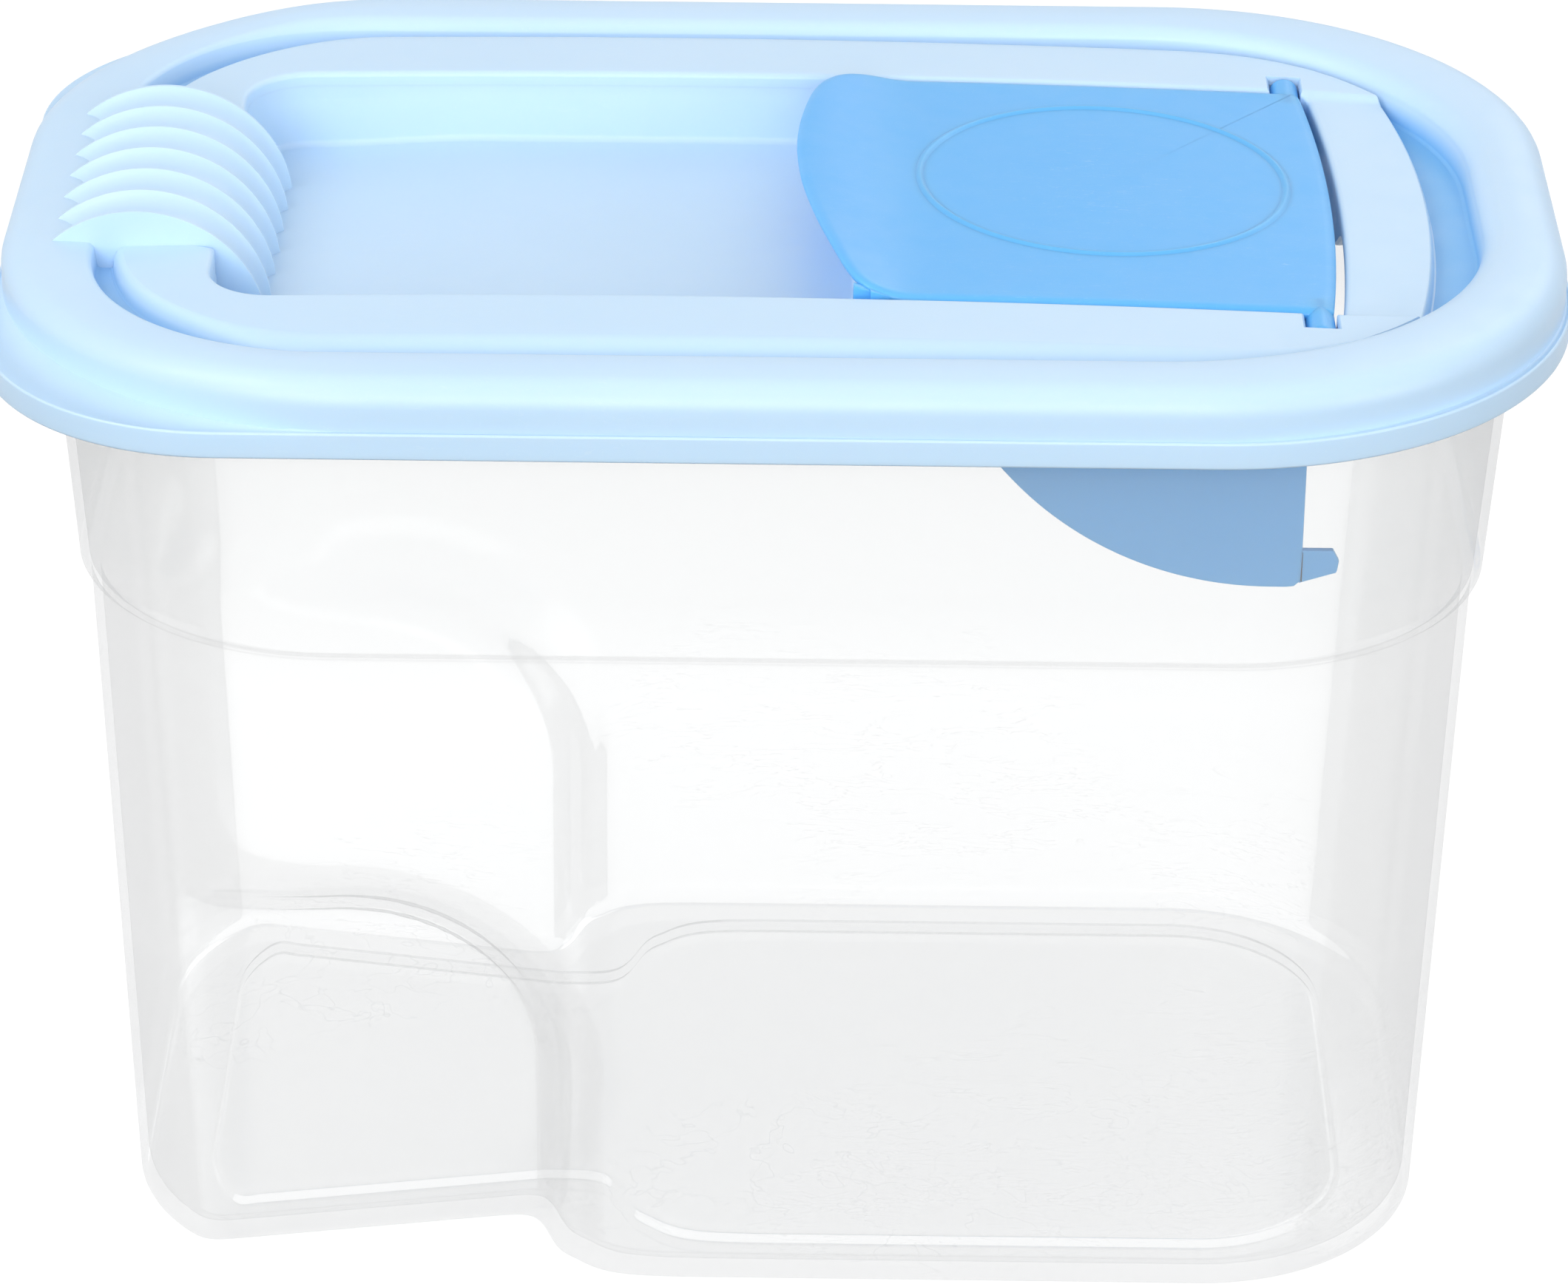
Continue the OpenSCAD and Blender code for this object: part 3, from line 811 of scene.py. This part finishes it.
def flap_plate():
    """Curved plate of the flap with rounded edges"""
    edge = flap_outline()
    normal = outward(edge)
    r = 1.25
    soft = 2.4
    loops = []
    middle = np.column_stack([np.clip(edge[:, 0], 60, 70), edge[:, 1] * 0.04])

    def add(inset, drop, pull=0.0):
        flat = edge - normal * inset
        flat = flat * (1 - pull) + middle * pull
        loops.append(at_z(flat, flap_top(flat[:, 0], flat[:, 1]) - drop))

    for pull in (0.97, 0.8, 0.6, 0.4, 0.2, 0.06):
        add(r, FLAP_T + 0.3, pull)
    for a in np.linspace(-math.pi / 2, math.pi / 2, 13):
        add((r if a < 0 else soft) * (1 - math.cos(a)), r * (1 - math.sin(a)))
    for pull in (0.03, 0.1, 0.22, 0.36, 0.5, 0.65, 0.8, 0.97):
        add(soft, 0.0, pull)
    return loft("flap_plate", loops, caps=(True, True))


def bead():
    """Thin raised circle on the flap, left bare inside"""
    cx, cy, r, w, h = 70.0, 5.5, 40.5, 1.5, 0.55
    loops = []
    for a in np.linspace(0, 2 * math.pi, 289)[:-1]:
        line = []
        for t in np.linspace(-1, 1, 9):
            x = cx + (r + t * w) * math.cos(a)
            y = cy + (r + t * w) * math.sin(a)
            z = flap_top(x, y) - 0.15 + (h + 0.15) * (0.5 + 0.5 * math.cos(math.pi * t))
            line.append((x, y, z))
        line.append((cx + r * math.cos(a), cy + r * math.sin(a), flap_top(cx) - 1.2))
        loops.append(np.array(line))
    return loft("flap_bead", loops, closed=True)


def cheek_outline(side):
    """Side wall under the flap that closes the opening, as length and height"""
    low_z = crown(HINGE_X) - CHEEK_DROP
    r = 75.5
    cx, cz = HINGE_X - 8, low_z + r
    back = HINGE_X - 1
    angle = math.radians(49)
    front, lip_front = PAN_END + 3.2, 14.8
    path = []
    tx, tz = cx - r * math.sin(angle), cz - r * math.cos(angle)
    slope = math.tan(angle)
    z_front = tz + (tx - front) * slope
    path += [(x, flap_top(x, side * FLAP_HALF) - 1.2) for x in (33, 29, 25, 21, 18, lip_front)]
    path += [(lip_front, crown(lip_front) - 2.85), (front, crown(front) - 2.85), (front, z_front)]
    for a in np.linspace(angle, 0, 30):
        path.append((cx - r * math.sin(a), cz - r * math.cos(a)))
    corner = 2.0
    path += [(back - corner, low_z), (back - 0.6, low_z + 0.6), (back, low_z + corner)]
    path.append((back, crown(back) - 1.2))
    return resample(path + [path[0]], np.linspace(0, 1, 161))[:-1]


def cheeks():
    """Two cheeks under the flap, each with a small stop at its foot and a web under the lip"""
    meshes = []
    for s in (-1, 1):
        wall = plate(cheek_outline(s), s * CHEEK_IN, s * CHEEK_OUT)
        meshes.append(loft("cheek", wall, caps=(True, True)))
        low = crown(HINGE_X) - CHEEK_DROP
        stop = [(HINGE_X - 1.5, low + 1.0), (HINGE_X + 6.6, low + 3.6), (HINGE_X + 7.0, low + 6.4),
                (HINGE_X + 5.6, low + 9.0), (HINGE_X - 1.5, low + 9.0)]
        loop = resample(stop + [stop[0]], np.linspace(0, 1, 61))[:-1]
        meshes.append(loft("stop", plate(loop, s * CHEEK_IN, s * CHEEK_OUT), caps=(True, True)))
        line = [(x, crown(x) - 2.4) for x in (18.5, 33.0)]
        line += [(x, flap_top(x, s * FLAP_HALF) - 0.9) for x in (33.0, 30, 28, 25, 22, 18.5)]
        loop = resample(line + [line[0]], np.linspace(0, 1, 61))[:-1]
        meshes.append(loft("web", plate(loop, s * 58.4, s * 60.0, 0.2), caps=(True, True)))
    return meshes


def pins():
    """Hinge pins that reach from the flap's edges into the lid"""
    meshes = []
    for s in (-1, 1):
        loops = []
        for r, y in ((PIN_R, 54.0), (PIN_R, 67.6), (PIN_R - 0.3, 68.2), (PIN_R - 0.8, 68.3)):
            line = [(HINGE_X + r * math.cos(a), s * y, HINGE_Z + r * math.sin(a))
                    for a in np.linspace(0, 2 * math.pi, 49)[:-1]]
            loops.append(np.array(line))
        meshes.append(loft("pin", loops, caps=(True, True)))
    return meshes


flap = join("flap_lid", [flap_plate(), bead()] + cheeks() + pins())
finish_shading(flap)
place(flap, "flap", MID, "flap")


# Container, whose foot is given as length, width and corner radius
FOOT = (293.0, 172.0, 51.0)
BODY_LEAN = 5.3
SHOULDER_LOW = 158.5
SHOULDER_Z = 161.0
SHOULDER_OUT = 2.2
COLLAR_LEAN = 4.0
TUB_WALL = 2.0
RIM_Z = 218.5
FLANGE_T = 2.5
ARCH_X = -97.0
ARCH_Z = 44.0
ARCH_R = 48.0
TUB_N = 640


def even_loop(grow):
    """Foot outline grown outwards, with evenly spaced points that match from loop to loop"""
    length, width, r = FOOT
    hl, hw = length / 2, width / 2
    path = []
    for q, (cx, cy) in enumerate(((hl - r, hw - r), (r - hl, hw - r), (r - hl, r - hw),
                                  (hl - r, r - hw))):
        for a in np.linspace(q * math.pi / 2, (q + 1) * math.pi / 2, 60):
            path.append((cx + r * math.cos(a), cy + r * math.sin(a)))
    base = resample(path + [path[0]], np.linspace(0, 1, TUB_N + 1))[:-1]
    return base + grow * outward(base)


def tub_grow(z):
    """How far the tub's outer wall lies outside its foot at a height"""
    lean = BODY_LEAN * min(z, SHOULDER_Z) / SHOULDER_Z
    step = SHOULDER_OUT * float(smooth((z - SHOULDER_LOW) / (SHOULDER_Z - SHOULDER_LOW)))
    collar = COLLAR_LEAN * max(z - SHOULDER_Z, 0.0) / (RIM_Z - SHOULDER_Z)
    return lean + step + collar


def recess(flat, z, inset=0.0):
    """Loop with the two grip recesses pressed in, soft at their edges"""
    x, y = flat[:, 0], np.abs(flat[:, 1])
    rise = max(z - ARCH_Z, 0.0)
    d = np.hypot(np.maximum(x - ARCH_X, 0.0), rise) - ARCH_R - inset
    spread = 2.2 + 2.6 * smooth((d + 3.0) / 8.0)
    share = 1 / (1 + np.exp(np.clip((d + 1.0) / spread, -30, 30)))
    back = 61.2 - inset + 0.185 * np.maximum(-61.0 - x, -8) + 0.012 * z
    soft = 1.5
    depth = soft * np.logaddexp(0, (y - back) / soft)
    depth = np.where(x < 0, depth, 0) * share
    depth = depth * smooth((x + 146 - inset) / 12)
    return np.column_stack([x, np.sign(flat[:, 1]) * (y - depth)])


def tub_level(z, inset=0.0):
    """Outline of the tub at a height, with an inset for the inner face"""
    return recess(even_loop(tub_grow(z) - inset), z, inset)


def tub_heights(low):
    """Heights of the wall's loops, close together where the recesses and the step are"""
    near = list(np.arange(low, 118.0, 1.9)) + [124.0, 134.0, 146.0, 154.0, 157.6]
    step = list(np.linspace(158.4, 161.4, 8))
    return near + step + [164.0, 172.0, 184.0, 198.0, 209.0]


def tub_loops():
    """Loops of the tub from the middle of its base, up the outside, over the rim and down inside"""
    loops = []

    def base(inset, z):
        loops.append(at_z(tub_level(0.0, inset), z))

    panel, rise, floor = 16.5, 1.5, 3.0
    base(panel + 1.6, rise)
    base(panel + 0.8, rise)
    base(panel + 0.2, rise - 0.3)
    base(panel - 0.2, 0.3)
    base(panel - 0.8, 0.0)
    base(3.5, 0.0)
    edge = 2.2
    for a in np.linspace(0, math.pi / 2, 7):
        z = edge * (1 - math.cos(a))
        loops.append(at_z(tub_level(z, edge * (1 - math.sin(a))), z))
    for z in tub_heights(3.6):
        loops.append(at_z(tub_level(z), z))
    flange = RIM_Z - FLANGE_T
    loops.append(at_z(tub_level(flange - 1.5), flange - 1.5))
    top = even_loop(tub_grow(RIM_Z))
    out = rounded_even(SKIRT, 3.0)
    loops.append(at_z(top + outward(top) * 0.6, flange - 0.3))
    loops.append(at_z(top + outward(top) * 1.4, flange))
    for inset, z in ((0.8, flange), (0.2, flange + 0.2), (0.0, flange + 0.8),
                     (0.0, RIM_Z - 0.8), (0.2, RIM_Z - 0.2), (0.8, RIM_Z)):
        loops.append(at_z(out - outward(out) * inset, z))
    inner = top - outward(top) * TUB_WALL
    loops.append(at_z(inner + outward(inner) * 0.8, RIM_Z))
    loops.append(at_z(inner + outward(inner) * 0.2, RIM_Z - 0.3))
    loops.append(at_z(inner, RIM_Z - 1.0))
    for z in tub_heights(floor + 4.4)[::-1]:
        loops.append(at_z(tub_level(z, TUB_WALL), z))
    fillet = 4.0
    for a in np.linspace(0, math.pi / 2, 7):
        z = floor + fillet * (1 - math.sin(a))
        loops.append(at_z(tub_level(z, TUB_WALL + fillet * (1 - math.cos(a))), z))
    base(panel - 0.8, floor)
    base(panel - 0.2, floor + 0.3)
    base(panel + 0.2, floor + rise - 0.3)
    base(panel + 0.8, floor + rise)
    base(panel + 1.6, floor + rise)
    return loops


def rounded_even(outline, inset):
    """Rounded rectangle with points at the same places round it as the tub's loops"""
    length, width, rl, rr = outline
    hl, hw = length / 2 - inset, width / 2 - inset
    path = []
    for q, (sx, sy, r) in enumerate(((1, 1, rr), (-1, 1, rl), (-1, -1, rl), (1, -1, rr))):
        r = r - inset
        for a in np.linspace(q * math.pi / 2, (q + 1) * math.pi / 2, 60):
            path.append((sx * (hl - r) + r * math.cos(a), sy * (hw - r) + r * math.sin(a)))
    path = np.array(path + [path[0]])
    want = even_loop(0.0)
    angle = np.unwrap(np.arctan2(want[:, 1] * length / width, want[:, 0]))
    have = np.unwrap(np.arctan2(path[:, 1] * length / width, path[:, 0]))
    return np.stack([np.interp(angle, have, path[:, k]) for k in (0, 1)], axis=1)


tub = loft("container_tub", tub_loops(), caps=(True, True))
finish_shading(tub, 60)
place(tub, "container", CLEAR, "container")


# Camera, floor and light
PHOTO_W = 2120
FOCAL_PX = 8564.4
ELEVATION = math.radians(27.4885)
AZIMUTH = math.radians(-0.2473)
ROLL = math.radians(0.5613)
TARGET = Vector((0.6845, 0.0, 117.1963)) * MM
DISTANCE = 1.4446
SENSOR = 36.0
FLOOR_GLOW = 0.91
WORLD_LEVEL = 0.62


def make_camera():
    """Camera at the photograph's viewing angle"""
    ca, sa = math.cos(AZIMUTH), math.sin(AZIMUTH)
    ce, se = math.cos(ELEVATION), math.sin(ELEVATION)
    forward = Vector((sa * ce, ca * ce, -se))
    right = Vector((ca, -sa, 0.0))
    up = right.cross(forward)
    cr, sr = math.cos(ROLL), math.sin(ROLL)
    side = right * cr + up * sr
    top = up * cr - right * sr
    data = bpy.data.cameras.new("camera")
    data.sensor_width = SENSOR
    data.sensor_fit = "HORIZONTAL"
    data.lens = FOCAL_PX / PHOTO_W * SENSOR
    data.clip_end = 50.0
    camera = bpy.data.objects.new("camera", data)
    bpy.context.scene.collection.objects.link(camera)
    turn = Matrix((side, top, -forward)).transposed().to_4x4()
    camera.matrix_world = Matrix.Translation(TARGET - forward * DISTANCE) @ turn
    bpy.context.scene.camera = camera


def make_floor():
    """White floor that keeps the object's shadow"""
    size = 30.0
    mesh = bpy.data.meshes.new("floor")
    mesh.from_pydata([(-size, -size, 0), (size, -size, 0), (size, size, 0), (-size, size, 0)],
                     [], [(0, 1, 2, 3)])
    floor = bpy.data.objects.new("floor", mesh)
    bpy.context.scene.collection.objects.link(floor)
    floor.location.z = -0.0003
    material = bpy.data.materials.new("floor")
    nodes = Nodes(material)
    tone = nodes.ramp(nodes.noise(3.0), 0.3, 0.7, 0.165, 0.175)
    grey = nodes.add("ShaderNodeCombineColor", {"Red": tone, "Green": tone, "Blue": tone})
    diffuse = nodes.add("ShaderNodeBsdfDiffuse", {"Color": grey.outputs[0]})
    path = nodes.add("ShaderNodeLightPath").outputs
    seen = nodes.math("MAXIMUM", path["Is Camera Ray"], path["Is Glossy Ray"])
    lift = nodes.add("ShaderNodeEmission", {"Strength": nodes.math("MULTIPLY", seen, FLOOR_GLOW)})
    both = nodes.add("ShaderNodeAddShader", {0: diffuse.outputs[0], 1: lift.outputs[0]})
    nodes.output(both.outputs[0])
    mesh.materials.append(material)


def make_world():
    """Soft even light from all round, seen as white by the camera and in reflections"""
    world = bpy.data.worlds.new("world")
    bpy.context.scene.world = world
    world.use_nodes = True
    tree = world.node_tree
    tree.nodes.clear()
    path = tree.nodes.new("ShaderNodeLightPath")
    level = tree.nodes.new("ShaderNodeMix")
    level.data_type = "FLOAT"
    level.inputs[2].default_value = WORLD_LEVEL
    level.inputs[3].default_value = 1.0
    seen = tree.nodes.new("ShaderNodeMath")
    seen.operation = "MAXIMUM"
    tree.links.new(path.outputs["Is Camera Ray"], seen.inputs[0])
    tree.links.new(path.outputs["Is Glossy Ray"], seen.inputs[1])
    tree.links.new(seen.outputs[0], level.inputs[0])
    back = tree.nodes.new("ShaderNodeBackground")
    back.inputs["Color"].default_value = (1.0, 1.0, 1.0, 1.0)
    tree.links.new(level.outputs[0], back.inputs["Strength"])
    out = tree.nodes.new("ShaderNodeOutputWorld")
    tree.links.new(back.outputs[0], out.inputs["Surface"])


def area_light(name, where, size, power, colour):
    """Soft lamp that points at the object's middle"""
    data = bpy.data.lights.new(name, "AREA")
    data.shape = "RECTANGLE"
    data.size, data.size_y = size
    data.energy = power
    data.color = colour
    light = bpy.data.objects.new(name, data)
    bpy.context.scene.collection.objects.link(light)
    light.location = where
    aim = Vector((0, 0, 0.15)) - Vector(where)
    light.rotation_euler = aim.to_track_quat("-Z", "Y").to_euler()


make_camera()
make_floor()
make_world()
area_light("key", (-1.3, -0.7, 1.7), (1.1, 1.1), 11.0, (1.0, 0.99, 1.0))
area_light("back_fill", (0.9, 1.4, 1.3), (1.4, 0.8), 5.0, (1.0, 1.0, 1.0))
area_light("front_fill", (-0.4, -2.3, 1.0), (2.4, 1.2), 31.0, (0.97, 1.0, 0.99))
area_light("side_fill", (1.9, -1.3, 0.6), (1.2, 1.0), 11.0, (0.98, 1.0, 1.0))

scene = bpy.context.scene
scene.view_settings.view_transform = "Standard"
scene.cycles.transparent_max_bounces = 32
